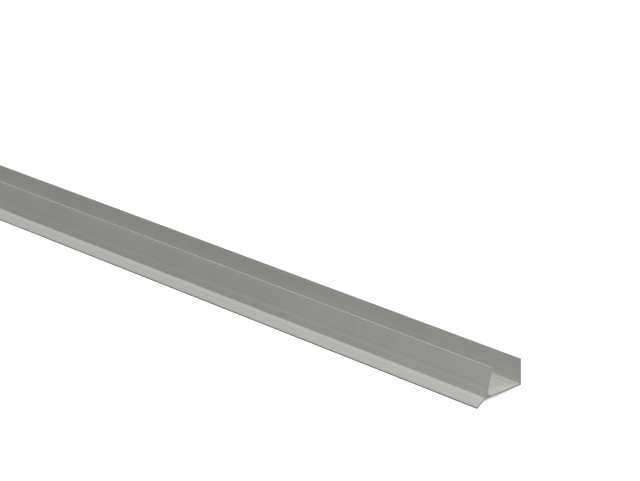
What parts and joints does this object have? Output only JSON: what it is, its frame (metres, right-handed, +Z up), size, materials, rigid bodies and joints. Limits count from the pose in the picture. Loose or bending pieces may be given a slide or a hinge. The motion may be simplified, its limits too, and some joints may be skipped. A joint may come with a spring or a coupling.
{
  "type": "plinth profile",
  "caption": "Straight plastic channel for the bottom edge of a plinth board, with an inward leaning front wall and a lip sloping down to the floor.",
  "frame": {"origin": "middle of the bar's length and of its overall width, level with the lip's lowest edge", "axes": "+X along the bar, +Y from the lip towards the back wall, +Z up out of the channel"},
  "size_m": [1, 0.0238, 0.0144],
  "materials": {
    "grey_plastic": "satin, as extruded"
  },
  "bodies": {
    "root": {"plinth_profile": "grey_plastic"}
  },
  "joints": []
}
